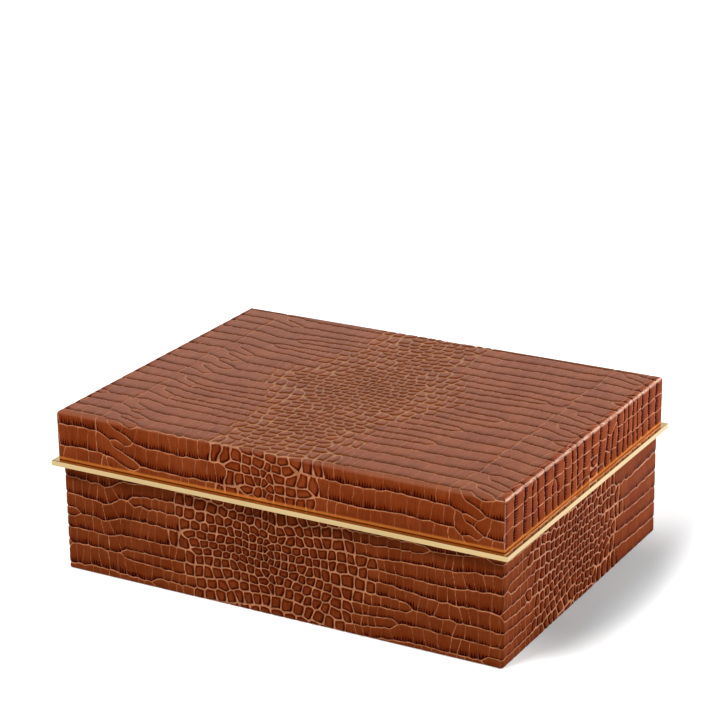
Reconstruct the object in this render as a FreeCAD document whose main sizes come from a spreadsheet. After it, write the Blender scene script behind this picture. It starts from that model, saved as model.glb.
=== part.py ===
import FreeCAD, Part
import Sketcher
import os

# A leather-covered box for papers and keepsakes, with a hinged lid and a brass frame
# that stands out all round between the lid and the base.
# Millimetres. X runs along the length, -Y faces the front, the hinges are at the back
# (+Y), and the origin is on the floor under the middle of the box.

PARTS_FOLDER = "parts"
SIDES = ("front", "back", "left", "right")
HINGE_SIGNS = {"left": "-", "right": "+"}
KNUCKLES = 5
SCREWS_PER_LEAF = 3
QUARTER_TURN = 90

# Driving sizes: alias, value, meaning.
SIZES = (
    ("frame_length", 305.0, "brass frame, outside, along X"),
    ("frame_width", 228.4, "brass frame, outside, along Y"),
    ("frame_thickness", 3.4, "brass frame, top to underside"),
    ("frame_overhang", 3.4, "how far the frame stands out from the lid"),
    ("frame_arris_radius", 0.4, "rounding of the frame's outer edges"),
    ("box_height", 103.4, "floor to the top of the lid"),
    ("parting_height", 68.4, "floor to the underside of the frame"),
    ("parting_gap", 0.3, "air between the frame and the rim of the base"),
    ("base_inset", 1.6, "how far the base stands in from the lid, each side"),
    ("leather_thickness", 1.2, "embossed covering leather"),
    ("lid_edge_radius", 2.5, "rolled top edges of the lid"),
    ("lid_hem_radius", 1.0, "folded lower edge of the lid's leather"),
    ("base_corner_radius", 2.0, "upright corners of the base's leather"),
    ("base_hem_radius", 1.0, "folded edges of the base's leather, rim and foot"),
    ("turn_under", 12.0, "width of the leather folded under the base"),
    ("felt_stand", 0.3, "how far the felt stands below the folded leather"),
    ("felt_gap", 0.3, "between the felt and the folded leather"),
    ("board_thickness", 9.0, "upright boards of the lid and the base"),
    ("panel_thickness", 6.0, "top panel of the lid, bottom panel of the base"),
    ("lining_thickness", 1.5, "suede-covered card on the inner walls"),
    ("floor_pad_thickness", 4.0, "padded floor of the base"),
    ("lid_pad_thickness", 3.0, "padded ceiling of the lid"),
    ("pad_gap", 0.3, "between a pad and the lining round it"),
    ("pad_edge_radius", 1.5, "rounded edges of both pads"),
    ("hinge_length", 44.0, "each butt hinge, along X"),
    ("hinge_place_share", 0.32, "hinge centre from the middle, of the lid's length"),
    ("hinge_leaf_width", 11.5, "pin axis to the leaf's inner edge"),
    ("hinge_let_in", 0.4, "how deep a leaf goes past the leather into the board"),
    ("barrel_radius", 2.0, "hinge knuckles, outside"),
    ("barrel_clearance", 0.3, "air round the knuckles"),
    ("pin_radius", 1.0, "hinge pin"),
    ("pin_clearance", 0.05, "running clearance of the pin, on the radius"),
    ("knuckle_gap", 0.2, "between neighbouring knuckles"),
    ("mortise_clearance", 0.2, "air round a leaf in its mortise"),
    ("screw_clearance", 0.1, "air round a screw, on the radius and at its tip"),
    ("hinge_screw_radius", 1.1, "hinge screw, shank"),
    ("hinge_screw_head_radius", 2.0, "hinge screw, countersunk head"),
    ("hinge_screw_length", 9.0, "hinge screw, head included"),
    ("hinge_screw_inset", 4.8, "leaf's inner edge to the screws"),
    ("hinge_screw_pitch", 15.0, "between the screws of a leaf"),
    ("frame_screw_radius", 1.4, "frame screw, shank"),
    ("frame_screw_head_radius", 2.7, "frame screw, countersunk head"),
    ("frame_screw_bite_share", 0.4, "how deep the frame screws go, of the rails' height"),
    ("inner_screw_share", 0.13, "inner frame screws from the middle, of the lid's length"),
    ("outer_screw_share", 0.43, "outer frame screws from the middle, of the lid's length"),
    ("side_screw_share", 0.27, "frame screws of the short sides, of the lid's width"),
    ("cut_overrun", 1.0, "how far a cut runs past the face that it opens"),
    ("touch_tolerance", 0.0001, "places nearer than this count as the same"),
)

# Sizes that follow from the driving ones, as expressions.
LEATHER = "Sizes.leather_thickness"
BOARD = "Sizes.board_thickness"
LINING = "Sizes.lining_thickness"
LID_LENGTH = "(Sizes.frame_length - 2 * Sizes.frame_overhang)"
LID_WIDTH = "(Sizes.frame_width - 2 * Sizes.frame_overhang)"
BASE_LENGTH = f"({LID_LENGTH} - 2 * Sizes.base_inset)"
BASE_WIDTH = f"({LID_WIDTH} - 2 * Sizes.base_inset)"
FRAME_BAR = f"(Sizes.frame_overhang + {LEATHER} + {BOARD} + {LINING})"

# Heights above the floor.
FLOOR = "0"
BASE_CORE_BOTTOM = f"(Sizes.felt_stand + {LEATHER})"
BASE_FLOOR = f"({BASE_CORE_BOTTOM} + Sizes.panel_thickness)"
BASE_TOP = "(Sizes.parting_height - Sizes.parting_gap)"
BASE_CORE_TOP = f"({BASE_TOP} - {LEATHER})"
FRAME_TOP = "(Sizes.parting_height + Sizes.frame_thickness)"
LID_CORE_BOTTOM = f"({FRAME_TOP} + {LEATHER})"
LID_CORE_TOP = f"(Sizes.box_height - {LEATHER})"
LID_CEILING = f"({LID_CORE_TOP} - Sizes.panel_thickness)"

# Hinges.
LEAF_THICKNESS = f"({LEATHER} + Sizes.hinge_let_in)"
AXIS_Y = f"({BASE_WIDTH} / 2 + Sizes.barrel_radius + Sizes.barrel_clearance)"
AXIS_Z = "(Sizes.parting_height - Sizes.parting_gap / 2)"
NOTCH_Y = f"({AXIS_Y} - Sizes.barrel_radius - Sizes.barrel_clearance)"
LEAF_INNER_Y = f"({AXIS_Y} - Sizes.hinge_leaf_width)"
HINGE_SCREW_Y = f"({LEAF_INNER_Y} + Sizes.hinge_screw_inset)"
HINGE_CENTRES = {
    hinge: f"({sign}Sizes.hinge_place_share * {LID_LENGTH})"
    for hinge, sign in HINGE_SIGNS.items()
}

doc = FreeCAD.newDocument("LeatherBox")
nodes = []


def make_sheet():
    """The spreadsheet of driving sizes, one row each."""
    made = doc.addObject("Spreadsheet::Sheet", "Sizes")
    for row, (alias, number, meaning) in enumerate(SIZES, start=1):
        made.set(f"A{row}", meaning)
        made.set(f"B{row}", str(number))
        made.setAlias(f"B{row}", alias)
    doc.recompute()
    return made


sheet = make_sheet()


def size(expression):
    """The number that an expression comes to."""
    return float(sheet.evalExpression(expression))


def bind(item, **expressions):
    """Ties properties of an object to expressions. X, Y and Z are its position."""
    paths = {"X": "Placement.Base.x", "Y": "Placement.Base.y", "Z": "Placement.Base.z"}
    for name, expression in expressions.items():
        item.setExpression(paths.get(name, name), expression)
    return item


# Places of the screws in plan

def frame_screw_places():
    """Side of the frame to the places of its screws."""
    rail_x = f"({LID_LENGTH} / 2 - {LEATHER} - {BOARD} / 2)"
    rail_y = f"({LID_WIDTH} / 2 - {LEATHER} - {BOARD} / 2)"
    inner = f"Sizes.inner_screw_share * {LID_LENGTH}"
    outer = f"Sizes.outer_screw_share * {LID_LENGTH}"
    along = f"Sizes.side_screw_share * {LID_WIDTH}"
    long_side = (f"-{outer}", f"-{inner}", inner, outer)
    short_side = (f"-{along}", along)
    return {
        "front": [(x, f"-{rail_y}") for x in long_side],
        "back": [(x, rail_y) for x in long_side],
        "left": [(f"-{rail_x}", y) for y in short_side],
        "right": [(rail_x, y) for y in short_side],
    }


def hinge_screw_places(hinge):
    """Places of the screws of one hinge's leaf."""
    middle = (SCREWS_PER_LEAF - 1) / 2
    return [
        (f"({HINGE_CENTRES[hinge]} + {i - middle} * Sizes.hinge_screw_pitch)", HINGE_SCREW_Y)
        for i in range(SCREWS_PER_LEAF)
    ]


FRAME_SCREWS = frame_screw_places()
ALL_FRAME_SCREWS = [place for side in SIDES for place in FRAME_SCREWS[side]]
HINGE_SCREWS = {hinge: hinge_screw_places(hinge) for hinge in HINGE_SIGNS}
ALL_HINGE_SCREWS = [place for hinge in HINGE_SIGNS for place in HINGE_SCREWS[hinge]]
FRAME_SCREW_TIP = (
    f"({LID_CORE_BOTTOM} + Sizes.frame_screw_bite_share * ({LID_CEILING} - {LID_CORE_BOTTOM}))"
)
FRAME_SCREW_LENGTH = f"({FRAME_SCREW_TIP} - Sizes.parting_height)"
FRAME_SCREW_HOLE = "(Sizes.frame_screw_radius + Sizes.screw_clearance)"
HINGE_SCREW_HOLE = "(Sizes.hinge_screw_radius + Sizes.screw_clearance)"
FRAME_COUNTERSINK = "(Sizes.frame_screw_head_radius - Sizes.frame_screw_radius)"
HINGE_COUNTERSINK = "(Sizes.hinge_screw_head_radius - Sizes.hinge_screw_radius)"


# Bodies made from level sketches

def new_body(node):
    body = doc.addObject("PartDesign::Body", node)
    body.Label = node
    nodes.append(body)
    return body


def new_sketch(body, height):
    """A level sketch of the body at that height."""
    plane = next(item for item in body.Origin.OriginFeatures if item.Role == "XY_Plane")
    sketch = body.newObject("Sketcher::SketchObject", f"{body.Label}_sketch")
    sketch.AttachmentSupport = [(plane, "")]
    sketch.MapMode = "FlatFace"
    sketch.setExpression("AttachmentOffset.Base.z", height)
    return sketch


def dimension(sketch, kind, *references, expression):
    """Adds a dimension to a sketch and ties it to an expression."""
    index = sketch.addConstraint(Sketcher.Constraint(kind, *references, size(expression)))
    sketch.setExpression(f"Constraints[{index}]", expression)


def draw_polygon(sketch, corners):
    """A closed outline through corners given as pairs of expressions."""
    points = [FreeCAD.Vector(size(x), size(y), 0) for x, y in corners]
    ends = points[1:] + points[:1]
    lines = [sketch.addGeometry(Part.LineSegment(a, b)) for a, b in zip(points, ends)]
    for line, following in zip(lines, lines[1:] + lines[:1]):
        sketch.addConstraint(Sketcher.Constraint("Coincident", line, 2, following, 1))
    for line, (x, y) in zip(lines, corners):
        dimension(sketch, "DistanceX", -1, 1, line, 1, expression=x)
        dimension(sketch, "DistanceY", -1, 1, line, 1, expression=y)


def draw_span(sketch, low_x, high_x, low_y, high_y):
    """A rectangle between two places along X and two along Y."""
    draw_polygon(sketch, [(low_x, low_y), (high_x, low_y), (high_x, high_y), (low_x, high_y)])


def draw_rectangle(sketch, length, width):
    """A rectangle about the origin."""
    draw_span(sketch, f"-{length} / 2", f"{length} / 2", f"-{width} / 2", f"{width} / 2")


def draw_circles(sketch, places, radius):
    up = FreeCAD.Vector(0, 0, 1)
    for x, y in places:
        centre = FreeCAD.Vector(size(x), size(y), 0)
        circle = sketch.addGeometry(Part.Circle(centre, up, size(radius)))
        dimension(sketch, "DistanceX", -1, 1, circle, 3, expression=x)
        dimension(sketch, "DistanceY", -1, 1, circle, 3, expression=y)
        dimension(sketch, "Radius", circle, expression=radius)


def draw_leaf_mortises(sketch, low_y, high_y):
    """A rectangle round each hinge between two places along Y."""
    half = "(Sizes.hinge_length / 2 + Sizes.mortise_clearance)"
    for centre in HINGE_CENTRES.values():
        draw_span(sketch, f"{centre} - {half}", f"{centre} + {half}", low_y, high_y)


def pad(body, sketch, length):
    """Raises a sketch."""
    feature = body.newObject("PartDesign::Pad", f"{body.Label}_pad")
    feature.Profile = sketch
    bind(feature, Length=length)
    doc.recompute()


def pocket(body, sketch, depth, upwards):
    """Cuts a sketch into the body, up or down, and makes sure that it cut something."""
    before = body.Shape.Volume
    feature = body.newObject("PartDesign::Pocket", f"{body.Label}_pocket")
    feature.Profile = sketch
    feature.Reversed = upwards
    bind(feature, Length=depth)
    doc.recompute()
    if not body.Shape.Volume < before:
        raise RuntimeError(f"a pocket of {body.Label} cut nothing")


def dress_edges(body, kind, property_name, expression, wanted):
    """Rounds or chamfers the edges of the body that wanted picks."""
    base = body.Tip
    names = [f"Edge{i}" for i, edge in enumerate(base.Shape.Edges, start=1) if wanted(edge)]
    feature = body.newObject(f"PartDesign::{kind}", f"{body.Label}_{kind.lower()}")
    feature.Base = (base, names)
    bind(feature, **{property_name: expression})
    doc.recompute()


def round_edges(body, radius, wanted):
    dress_edges(body, "Fillet", "Radius", radius, wanted)


def lies_at(edge, axis, expression):
    """True if both ends of the edge are at that place along an axis."""
    place = size(expression)
    near = size("Sizes.touch_tolerance")
    return all(abs(getattr(end.Point, axis) - place) < near for end in edge.Vertexes)


def is_upright(edge):
    ends = [end.Point for end in edge.Vertexes]
    near = size("Sizes.touch_tolerance")
    return len(ends) == 2 and abs(ends[0].x - ends[1].x) < near and abs(ends[0].y - ends[1].y) < near


def panel(node, length, width, bottom, thickness):
    """A level panel about the origin."""
    body = new_body(node)
    sketch = new_sketch(body, bottom)
    draw_rectangle(sketch, length, width)
    pad(body, sketch, thickness)
    return body


def mitred_corners(side, length, width, thickness):
    """Corners in plan of one side of a mitred ring."""
    x, y = f"{length} / 2", f"{width} / 2"
    inner_x, inner_y = f"({x} - {thickness})", f"({y} - {thickness})"
    return {
        "front": [(f"-{x}", f"-{y}"), (x, f"-{y}"),
                  (inner_x, f"-{inner_y}"), (f"-{inner_x}", f"-{inner_y}")],
        "back": [(x, y), (f"-{x}", y), (f"-{inner_x}", inner_y), (inner_x, inner_y)],
        "left": [(f"-{x}", y), (f"-{x}", f"-{y}"),
                 (f"-{inner_x}", f"-{inner_y}"), (f"-{inner_x}", inner_y)],
        "right": [(x, f"-{y}"), (x, y), (inner_x, inner_y), (inner_x, f"-{inner_y}")],
    }[side]


def mitred_side(node, side, length, width, thickness, bottom, top):
    """One upright side of a ring whose corners are mitred."""
    body = new_body(node)
    sketch = new_sketch(body, bottom)
    draw_polygon(sketch, mitred_corners(side, length, width, thickness))
    pad(body, sketch, f"{top} - {bottom}")
    return body


# Base

CORE_LENGTH = f"({BASE_LENGTH} - 2 * {LEATHER})"
CORE_WIDTH = f"({BASE_WIDTH} - 2 * {LEATHER})"
BASE_LINING_LENGTH = f"({CORE_LENGTH} - 2 * {BOARD})"
BASE_LINING_WIDTH = f"({CORE_WIDTH} - 2 * {BOARD})"
BASE_MOUTH_LENGTH = f"({BASE_LINING_LENGTH} - 2 * {LINING})"
BASE_MOUTH_WIDTH = f"({BASE_LINING_WIDTH} - 2 * {LINING})"


def make_base_boards():
    """Bottom panel between four mitred walls, the back one let in for the hinges."""
    panel("base_bottom_panel", BASE_LINING_LENGTH, BASE_LINING_WIDTH,
          BASE_CORE_BOTTOM, "Sizes.panel_thickness")
    for side in SIDES:
        wall = mitred_side(f"base_{side}_wall", side, CORE_LENGTH, CORE_WIDTH, BOARD,
                           BASE_CORE_BOTTOM, BASE_CORE_TOP)
        if side == "back":
            mortises = new_sketch(wall, BASE_CORE_TOP)
            draw_leaf_mortises(mortises, f"{LEAF_INNER_Y} - Sizes.mortise_clearance",
                               f"{CORE_WIDTH} / 2 + Sizes.cut_overrun")
            pocket(wall, mortises, "Sizes.hinge_let_in", upwards=False)
            holes = new_sketch(wall, BASE_CORE_TOP)
            draw_circles(holes, ALL_HINGE_SCREWS, HINGE_SCREW_HOLE)
            pocket(wall, holes, f"Sizes.hinge_screw_length + Sizes.screw_clearance - {LEATHER}",
                   upwards=False)


def make_base_leather():
    """A strip of leather round the walls, folded over the rim and under the bottom."""
    wrap = panel("base_leather_wrap", BASE_LENGTH, BASE_WIDTH, "Sizes.felt_stand",
                 f"{BASE_TOP} - Sizes.felt_stand")
    round_edges(wrap, "Sizes.base_corner_radius", is_upright)
    for height in (BASE_TOP, "Sizes.felt_stand"):
        round_edges(wrap, "Sizes.base_hem_radius", lambda edge: lies_at(edge, "z", height))
    mouth = new_sketch(wrap, BASE_TOP)
    draw_rectangle(mouth, BASE_MOUTH_LENGTH, BASE_MOUTH_WIDTH)
    pocket(wrap, mouth, f"{BASE_TOP} - {BASE_CORE_BOTTOM}", upwards=False)
    core = new_sketch(wrap, BASE_CORE_BOTTOM)
    draw_rectangle(core, CORE_LENGTH, CORE_WIDTH)
    pocket(wrap, core, f"{BASE_CORE_TOP} - {BASE_CORE_BOTTOM}", upwards=True)
    opening = new_sketch(wrap, "Sizes.felt_stand")
    draw_rectangle(opening, f"({BASE_LENGTH} - 2 * Sizes.turn_under)",
                   f"({BASE_WIDTH} - 2 * Sizes.turn_under)")
    pocket(wrap, opening, LEATHER, upwards=True)
    mortises = new_sketch(wrap, BASE_TOP)
    draw_leaf_mortises(mortises, f"{LEAF_INNER_Y} - Sizes.mortise_clearance",
                       f"{BASE_WIDTH} / 2 + Sizes.cut_overrun")
    pocket(wrap, mortises, LEAF_THICKNESS, upwards=False)


def make_base_felt():
    """Felt inside the folded leather, standing a little below it."""
    margin = "(Sizes.turn_under + Sizes.felt_gap)"
    panel("base_felt", f"({BASE_LENGTH} - 2 * {margin})", f"({BASE_WIDTH} - 2 * {margin})",
          FLOOR, BASE_CORE_BOTTOM)


def make_base_lining():
    """Suede cards on the walls, and a padded floor between them."""
    for side in SIDES:
        mitred_side(f"base_lining_{side}", side, BASE_LINING_LENGTH, BASE_LINING_WIDTH,
                    LINING, BASE_FLOOR, BASE_CORE_TOP)
    floor = panel("base_floor_pad", f"({BASE_MOUTH_LENGTH} - 2 * Sizes.pad_gap)",
                  f"({BASE_MOUTH_WIDTH} - 2 * Sizes.pad_gap)",
                  BASE_FLOOR, "Sizes.floor_pad_thickness")
    top = f"{BASE_FLOOR} + Sizes.floor_pad_thickness"
    round_edges(floor, "Sizes.pad_edge_radius", lambda edge: lies_at(edge, "z", top))


# Lid

LID_CORE_LENGTH = f"({LID_LENGTH} - 2 * {LEATHER})"
LID_CORE_WIDTH = f"({LID_WIDTH} - 2 * {LEATHER})"
LID_LINING_LENGTH = f"({LID_CORE_LENGTH} - 2 * {BOARD})"
LID_LINING_WIDTH = f"({LID_CORE_WIDTH} - 2 * {BOARD})"
LID_MOUTH_LENGTH = f"({LID_LINING_LENGTH} - 2 * {LINING})"
LID_MOUTH_WIDTH = f"({LID_LINING_WIDTH} - 2 * {LINING})"
LID_CORE_RADIUS = f"(Sizes.lid_edge_radius - {LEATHER})"


def make_lid_boards():
    """Top panel with rolled edges on four mitred rails, which are drilled for the screws."""
    top = panel("lid_top_panel", LID_CORE_LENGTH, LID_CORE_WIDTH, LID_CEILING,
                "Sizes.panel_thickness")
    round_edges(top, LID_CORE_RADIUS, lambda edge: lies_at(edge, "z", LID_CORE_TOP))
    hinge_screw_tip = "(Sizes.parting_height + Sizes.hinge_screw_length)"
    for side in SIDES:
        rail = mitred_side(f"lid_{side}_rail", side, LID_CORE_LENGTH, LID_CORE_WIDTH, BOARD,
                           LID_CORE_BOTTOM, LID_CEILING)
        holes = new_sketch(rail, LID_CORE_BOTTOM)
        draw_circles(holes, FRAME_SCREWS[side], FRAME_SCREW_HOLE)
        pocket(rail, holes, f"{FRAME_SCREW_TIP} + Sizes.screw_clearance - {LID_CORE_BOTTOM}",
               upwards=True)
        if side == "back":
            hinge_holes = new_sketch(rail, LID_CORE_BOTTOM)
            draw_circles(hinge_holes, ALL_HINGE_SCREWS, HINGE_SCREW_HOLE)
            pocket(rail, hinge_holes,
                   f"{hinge_screw_tip} + Sizes.screw_clearance - {LID_CORE_BOTTOM}", upwards=True)


def make_lid_leather():
    """A sheet of leather over the top, folded down on four sides and under the rails."""
    wrap = panel("lid_leather_wrap", LID_LENGTH, LID_WIDTH, FRAME_TOP,
                 f"Sizes.box_height - {FRAME_TOP}")
    mouth = new_sketch(wrap, FRAME_TOP)
    draw_rectangle(mouth, LID_LINING_LENGTH, LID_LINING_WIDTH)
    pocket(wrap, mouth, f"{LID_CORE_TOP} - {FRAME_TOP}", upwards=True)
    core = new_sketch(wrap, LID_CORE_BOTTOM)
    draw_rectangle(core, LID_CORE_LENGTH, LID_CORE_WIDTH)
    pocket(wrap, core, f"{LID_CORE_TOP} - {LID_CORE_BOTTOM}", upwards=True)
    round_edges(wrap, LID_CORE_RADIUS, lambda edge: lies_at(edge, "z", LID_CORE_TOP))
    round_edges(wrap, "Sizes.lid_edge_radius", lambda edge: lies_at(edge, "z", "Sizes.box_height"))
    round_edges(wrap, "Sizes.lid_hem_radius", is_lid_hem)
    for places, radius in ((ALL_FRAME_SCREWS, FRAME_SCREW_HOLE), (ALL_HINGE_SCREWS, HINGE_SCREW_HOLE)):
        holes = new_sketch(wrap, FRAME_TOP)
        draw_circles(holes, places, radius)
        pocket(wrap, holes, LEATHER, upwards=True)


def is_lid_hem(edge):
    """True for the outer lower edges of the lid."""
    sides = (("x", f"{LID_LENGTH} / 2"), ("x", f"-{LID_LENGTH} / 2"),
             ("y", f"{LID_WIDTH} / 2"), ("y", f"-{LID_WIDTH} / 2"))
    return lies_at(edge, "z", FRAME_TOP) and any(lies_at(edge, axis, at) for axis, at in sides)


def make_lid_lining():
    """Suede cards on the rails, and a padded ceiling between them."""
    for side in SIDES:
        mitred_side(f"lid_lining_{side}", side, LID_LINING_LENGTH, LID_LINING_WIDTH,
                    LINING, FRAME_TOP, LID_CEILING)
    bottom = f"({LID_CEILING} - Sizes.lid_pad_thickness)"
    ceiling = panel("lid_pad", f"({LID_MOUTH_LENGTH} - 2 * Sizes.pad_gap)",
                    f"({LID_MOUTH_WIDTH} - 2 * Sizes.pad_gap)", bottom, "Sizes.lid_pad_thickness")
    round_edges(ceiling, "Sizes.pad_edge_radius", lambda edge: lies_at(edge, "z", bottom))


# Brass frame

def outer_face(side):
    """Axis and place of the outer face of one side of the frame."""
    axis = "x" if side in ("left", "right") else "y"
    reach = "Sizes.frame_length / 2" if axis == "x" else "Sizes.frame_width / 2"
    sign = "-" if side in ("front", "left") else ""
    return axis, f"{sign}{reach}"


def make_frame_bar(side):
    """One mitred bar, countersunk from below for its screws."""
    bar = mitred_side(f"frame_{side}_bar", side, "Sizes.frame_length", "Sizes.frame_width",
                      FRAME_BAR, "Sizes.parting_height", FRAME_TOP)
    axis, place = outer_face(side)
    round_edges(bar, "Sizes.frame_arris_radius",
                lambda edge: lies_at(edge, axis, place) and not is_upright(edge))
    holes = new_sketch(bar, "Sizes.parting_height")
    draw_circles(holes, FRAME_SCREWS[side], FRAME_SCREW_HOLE)
    pocket(bar, holes, "Sizes.frame_thickness", upwards=True)
    dress_edges(bar, "Chamfer", "Size", FRAME_COUNTERSINK, is_underside_rim)
    if side == "back":
        fit_hinges_to_bar(bar)


def is_underside_rim(edge):
    """True for the round rim of a hole in the underside of the frame."""
    return isinstance(edge.Curve, Part.Circle) and lies_at(edge, "z", "Sizes.parting_height")


def fit_hinges_to_bar(bar):
    """Notches for the knuckles, mortises for the leaves and holes for their screws."""
    notches = new_sketch(bar, "Sizes.parting_height")
    draw_leaf_mortises(notches, NOTCH_Y, "Sizes.frame_width / 2 + Sizes.cut_overrun")
    pocket(bar, notches, "Sizes.frame_thickness", upwards=True)
    mortises = new_sketch(bar, "Sizes.parting_height")
    draw_leaf_mortises(mortises, f"{LEAF_INNER_Y} - Sizes.mortise_clearance",
                       f"{NOTCH_Y} + Sizes.cut_overrun")
    pocket(bar, mortises, LEAF_THICKNESS, upwards=True)
    holes = new_sketch(bar, "Sizes.parting_height")
    draw_circles(holes, ALL_HINGE_SCREWS, HINGE_SCREW_HOLE)
    pocket(bar, holes, "Sizes.frame_thickness", upwards=True)


# Hinges and screws, made from plain solids

def block(name, length, width, height, x, y, z):
    item = doc.addObject("Part::Box", name)
    return bind(item, Length=length, Width=width, Height=height, X=x, Y=y, Z=z)


def rod_along_x(name, radius, length, x):
    """A rod on the hinge axis."""
    item = doc.addObject("Part::Cylinder", name)
    turn = FreeCAD.Rotation(FreeCAD.Vector(0, 1, 0), QUARTER_TURN)
    item.Placement = FreeCAD.Placement(FreeCAD.Vector(0, 0, 0), turn)
    return bind(item, Radius=radius, Height=length, X=x, Y=AXIS_Y, Z=AXIS_Z)


def peg(name, radius, height, x, y, z):
    item = doc.addObject("Part::Cylinder", name)
    return bind(item, Radius=radius, Height=height, X=x, Y=y, Z=z)


def taper(name, low_radius, high_radius, height, x, y, z):
    item = doc.addObject("Part::Cone", name)
    return bind(item, Radius1=low_radius, Radius2=high_radius, Height=height, X=x, Y=y, Z=z)


def fuse(name, items):
    fused = doc.addObject("Part::MultiFuse", name)
    fused.Shapes = items
    return fused


def cut(name, base, tools):
    """The base less all the tools, which have to take something away."""
    made = doc.addObject("Part::Cut", name)
    made.Base = base
    made.Tool = fuse(f"{name}_tools", tools)
    doc.recompute()
    if not made.Shape.Volume < base.Shape.Volume:
        raise RuntimeError(f"a cut of {name} took nothing away")
    return made


def make_leaf(hinge, leaf):
    """One leaf: a plate with its knuckles, cleared for the other leaf's knuckles."""
    node = f"hinge_{hinge}_{leaf}_leaf"
    first = 0 if leaf == "base" else 1
    bottom = f"({BASE_TOP} - {LEAF_THICKNESS})" if leaf == "base" else "Sizes.parting_height"
    start = f"({HINGE_CENTRES[hinge]} - Sizes.hinge_length / 2)"
    step = f"(Sizes.hinge_length / {KNUCKLES})"
    plate = block(f"{node}_plate", "Sizes.hinge_length", "Sizes.hinge_leaf_width",
                  LEAF_THICKNESS, start, LEAF_INNER_Y, bottom)
    clearances = [
        rod_along_x(f"{node}_clearance", "Sizes.barrel_radius + Sizes.barrel_clearance", step,
                    f"{start} + {i} * {step}")
        for i in range(KNUCKLES) if i % 2 != first
    ]
    knuckles = [
        rod_along_x(f"{node}_knuckle", "Sizes.barrel_radius", f"{step} - Sizes.knuckle_gap",
                    f"{start} + {i} * {step} + Sizes.knuckle_gap / 2")
        for i in range(KNUCKLES) if i % 2 == first
    ]
    cleared = cut(f"{node}_cleared", plate, clearances)
    blank = fuse(f"{node}_blank", [cleared] + knuckles)
    doc.recompute()
    bore = rod_along_x(f"{node}_bore", "Sizes.pin_radius + Sizes.pin_clearance",
                       "Sizes.hinge_length", start)
    nodes.append(cut(node, blank, [bore] + leaf_screw_holes(node, hinge, leaf, bottom)))


def leaf_screw_holes(node, hinge, leaf, bottom):
    """Countersunk holes, open upwards in a base leaf and downwards in a lid leaf."""
    head_hole = "(Sizes.hinge_screw_head_radius + Sizes.screw_clearance)"
    holes = []
    for x, y in HINGE_SCREWS[hinge]:
        holes.append(peg(f"{node}_hole", HINGE_SCREW_HOLE, LEAF_THICKNESS, x, y, bottom))
        if leaf == "base":
            sink = taper(f"{node}_sink", HINGE_SCREW_HOLE, head_hole, HINGE_COUNTERSINK,
                         x, y, f"{BASE_TOP} - {HINGE_COUNTERSINK}")
        else:
            sink = taper(f"{node}_sink", head_hole, HINGE_SCREW_HOLE, HINGE_COUNTERSINK, x, y, bottom)
        holes.append(sink)
    return holes


def make_pin(hinge):
    pin = rod_along_x(f"hinge_{hinge}_pin", "Sizes.pin_radius", "Sizes.hinge_length",
                      f"{HINGE_CENTRES[hinge]} - Sizes.hinge_length / 2")
    nodes.append(pin)


def upward_screw(name, x, y, radius, head_radius, countersink, length):
    """A countersunk screw driven up from the underside of the frame."""
    head = taper(f"{name}_head", head_radius, radius, countersink, x, y, "Sizes.parting_height")
    shank = peg(f"{name}_shank", radius, f"{length} - {countersink}", x, y,
                f"Sizes.parting_height + {countersink}")
    return fuse(name, [head, shank])


def downward_screw(name, x, y, radius, head_radius, countersink, length):
    """A countersunk screw driven down from the rim of the base."""
    head = taper(f"{name}_head", radius, head_radius, countersink, x, y,
                 f"{BASE_TOP} - {countersink}")
    shank = peg(f"{name}_shank", radius, f"{length} - {countersink}", x, y, f"{BASE_TOP} - {length}")
    return fuse(name, [head, shank])


def make_screws(node, make_screw, places, kind, countersink, length):
    """A group of alike screws, one solid each."""
    sizes = (f"Sizes.{kind}_radius", f"Sizes.{kind}_head_radius", countersink, length)
    group = doc.addObject("Part::Compound", node)
    group.Links = [make_screw(f"{node}_screw", x, y, *sizes) for x, y in places]
    nodes.append(group)


def check_document():
    """Stops at an object that failed or a node with no sound shape."""
    doc.recompute()
    for item in doc.Objects:
        if "Invalid" in item.State or "Error" in item.State:
            raise RuntimeError(f"{item.Label} failed: {item.State}")
    for node in nodes:
        if node.Shape.isNull() or not node.Shape.isValid():
            raise RuntimeError(f"{node.Label} has no sound shape")


def write_nodes():
    os.makedirs(PARTS_FOLDER, exist_ok=True)
    for node in nodes:
        node.Shape.exportStep(f"{PARTS_FOLDER}/{node.Label}.step")
        solids = len(node.Shape.Solids)
        print(f"{node.Label}: {solids} solid(s), {node.Shape.Volume:.1f} mm3")


make_base_boards()
make_base_leather()
make_base_felt()
make_base_lining()
make_lid_boards()
make_lid_leather()
make_lid_lining()
for frame_side in SIDES:
    make_frame_bar(frame_side)
for hinge_side in HINGE_SIGNS:
    for leaf_name in ("base", "lid"):
        make_leaf(hinge_side, leaf_name)
    make_pin(hinge_side)
make_screws("hinge_base_screws", downward_screw, ALL_HINGE_SCREWS, "hinge_screw",
            HINGE_COUNTERSINK, "Sizes.hinge_screw_length")
make_screws("hinge_lid_screws", upward_screw, ALL_HINGE_SCREWS, "hinge_screw",
            HINGE_COUNTERSINK, "Sizes.hinge_screw_length")
make_screws("frame_screws", upward_screw, ALL_FRAME_SCREWS, "frame_screw",
            FRAME_COUNTERSINK, FRAME_SCREW_LENGTH)
check_document()
write_nodes()
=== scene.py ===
import math
from collections import namedtuple

import bpy
import numpy as np
from mathutils import Matrix, Vector


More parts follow.
